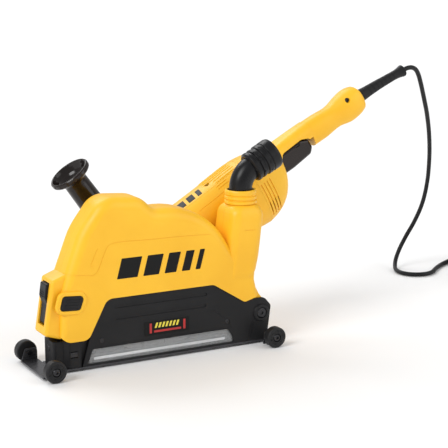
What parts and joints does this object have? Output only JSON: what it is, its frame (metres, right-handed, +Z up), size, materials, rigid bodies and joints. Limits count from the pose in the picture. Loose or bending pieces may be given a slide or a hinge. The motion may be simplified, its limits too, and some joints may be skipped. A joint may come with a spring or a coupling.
{
  "type": "wall chaser",
  "caption": "Wheeled plunge-cut wall chaser: corded angle grinder clamped to a dust hood over a slotted guide shoe, with swivelling extraction elbow, side grip and trigger handle.",
  "frame": {"origin": "bottom centre of the machine's box, its mains lead left out; the wheels stand on Z 0", "axes": "+X runs from the nose to the rear handle, -Y is the side with the cover panel, +Z up"},
  "size_m": [1.1658, 0.3821, 0.4449],
  "materials": {
    "yellow_plastic": "satin moulded, finely grained",
    "black_plastic": "satin grained",
    "wheel_plastic": "satin",
    "dark_grip": "smooth glossy",
    "rubber": "matte",
    "steel": "zinc plated",
    "alloy": "die cast, bead blasted",
    "motor_iron": "laminated iron with windings",
    "copper": "plain",
    "abrasive": "coarse segmented cutting disc",
    "clear_window": "clear moulded plastic",
    "label_print": "plain printed marks"
  },
  "bodies": {
    "shoe": {"base_plate": "steel", "front_bracket": "steel", "rear_bracket": "steel", "cover_panel": "black_plastic", "window_pane": "clear_window", "far_panel": "black_plastic", "front_block": "black_plastic", "rear_block": "black_plastic", "pivot_pin": "steel", "pivot_nut": "steel", "return_spring": "steel", "panel_screw_front": "steel", "panel_screw_rear": "steel", "axle_bolt_front_near": "steel", "axle_bolt_front_far": "steel", "axle_bolt_rear_near": "steel", "axle_bolt_rear_far": "steel"},
    "hood": {"hood_near": "yellow_plastic", "hood_far": "yellow_plastic", "dust_neck": "yellow_plastic", "lever_pin": "steel", "gearcase": "alloy", "bearing_cover": "alloy", "spindle_bearing": "steel", "needle_bearing": "steel", "clamp_ring": "alloy", "bearing_plate": "alloy", "front_motor_bearing": "steel", "rear_motor_bearing": "steel", "stator": "motor_iron", "motor_housing": "yellow_plastic", "brush_holder_near": "copper", "brush_holder_far": "copper", "handle_near": "yellow_plastic", "handle_far": "yellow_plastic", "switch_unit": "black_plastic", "strain_relief": "rubber", "side_grip": "dark_grip", "side_grip_stud": "steel", "cord": "rubber", "cord_coil": "rubber", "plug": "rubber"},
    "elbow": {"elbow_tube": "black_plastic"},
    "hose_coupling": {"hose_lock": "black_plastic"},
    "lever": {"front_lever": "black_plastic"},
    "release_button": {"plunge_button": "black_plastic"},
    "spindle_group": {"spindle": "steel", "crown_gear": "steel", "inner_flange": "steel", "cutting_disc": "abrasive", "clamp_nut": "steel"},
    "rotor": {"armature": "motor_iron", "cooling_fan": "black_plastic", "pinion": "steel"},
    "lock_button": {"spindle_lock_button": "dark_grip"},
    "trigger_paddle": {"trigger": "dark_grip"},
    "front_near_wheel": {"wheel_front_near": "wheel_plastic"},
    "front_far_wheel": {"wheel_front_far": "wheel_plastic"},
    "rear_near_wheel": {"wheel_rear_near": "wheel_plastic"},
    "rear_far_wheel": {"wheel_rear_far": "wheel_plastic"}
  },
  "joints": [
    {"name": "plunge", "type": "hinge", "parent": "shoe", "child": "hood", "pos_m": [0.015, -0.038, 0.053], "axis": [0, -1, 0], "range_deg": [0, 7], "stiffness_Nm_per_rad": 12, "springref_deg": -57.3},
    {"name": "elbow_swivel", "type": "hinge", "parent": "hood", "child": "elbow", "pos_m": [-0.008, -0.038, 0.25], "axis": [0, 0, 1], "range_deg": [-180, 0]},
    {"name": "hose_coupling_turn", "type": "hinge", "parent": "elbow", "child": "hose_coupling", "pos_m": [0.01322, -0.038, 0.29732], "axis": [0.8829, 0, 0.4695], "range_deg": [0, 60]},
    {"name": "lever_tilt", "type": "hinge", "parent": "hood", "child": "lever", "pos_m": [-0.3614, -0.038, 0.083], "axis": [0, -1, 0], "range_deg": [0, 35], "stiffness_Nm_per_rad": 0.05, "springref_deg": -28.65},
    {"name": "release_button_press", "type": "slide", "parent": "hood", "child": "release_button", "axis": [0, 1, 0], "range_m": [0, 0.004], "stiffness_N_per_m": 500, "springref_m": -0.002},
    {"name": "spindle_spin", "type": "hinge", "parent": "hood", "child": "spindle_group", "pos_m": [-0.166, -0.038, 0.12], "axis": [0, 1, 0], "continuous": true},
    {"name": "rotor_spin", "type": "hinge", "parent": "hood", "child": "rotor", "pos_m": [-0.166, 0.052, 0.12], "axis": [0.8572, 0, 0.515], "continuous": true},
    {"name": "spindle_lock_press", "type": "slide", "parent": "hood", "child": "lock_button", "axis": [0, -1, 0], "range_m": [0, 0.0025], "stiffness_N_per_m": 400, "springref_m": -0.002},
    {"name": "trigger_pull", "type": "hinge", "parent": "hood", "child": "trigger_paddle", "pos_m": [0.11875, 0.052, 0.28876], "axis": [0, -1, 0], "range_deg": [0, 4], "stiffness_Nm_per_rad": 1, "springref_deg": -8.59},
    {"name": "front_near_wheel_roll", "type": "hinge", "parent": "shoe", "child": "front_near_wheel", "pos_m": [-0.371, -0.038, 0.0175], "axis": [0, 1, 0], "continuous": true},
    {"name": "front_far_wheel_roll", "type": "hinge", "parent": "shoe", "child": "front_far_wheel", "pos_m": [-0.371, -0.038, 0.0175], "axis": [0, 1, 0], "continuous": true},
    {"name": "rear_near_wheel_roll", "type": "hinge", "parent": "shoe", "child": "rear_near_wheel", "pos_m": [0.023, -0.038, 0.0175], "axis": [0, 1, 0], "continuous": true},
    {"name": "rear_far_wheel_roll", "type": "hinge", "parent": "shoe", "child": "rear_far_wheel", "pos_m": [0.023, -0.038, 0.0175], "axis": [0, 1, 0], "continuous": true}
  ],
  "couplings": [
    {"joint": "rotor_spin", "follows": "spindle_spin", "ratio": 3.3636}
  ]
}
